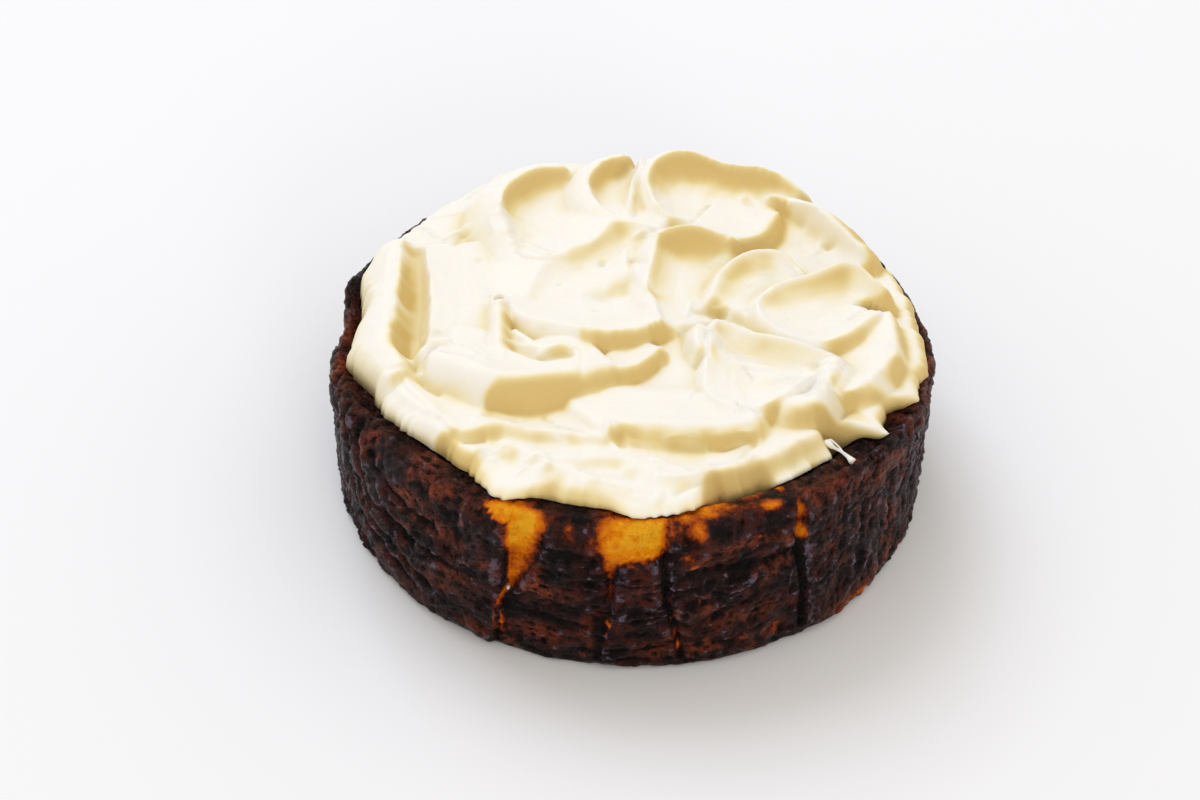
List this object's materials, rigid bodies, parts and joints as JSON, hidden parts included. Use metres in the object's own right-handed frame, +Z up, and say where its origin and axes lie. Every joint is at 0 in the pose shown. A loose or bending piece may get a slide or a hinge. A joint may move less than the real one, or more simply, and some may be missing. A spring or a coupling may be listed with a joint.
{
  "type": "cheesecake",
  "caption": "Round uncut baked cheesecake with a dark burnt crust and a thick layer of swirled whipped cream on top, made to stand on a plate and be sliced.",
  "frame": {"origin": "centre of the flat base, on the surface the cake stands on", "axes": "+Z up along the cake's height, +X to the cake's right and -Y to the front, the side the picture looks at"},
  "size_m": [0.2022, 0.2052, 0.0776],
  "materials": {
    "crust": "dark burnt baked crust with an oily sheen and amber custard cracks",
    "cream": "soft satin whipped cream"
  },
  "bodies": {
    "root": {"cheesecake": "crust", "whipped_cream": "cream"}
  },
  "joints": []
}
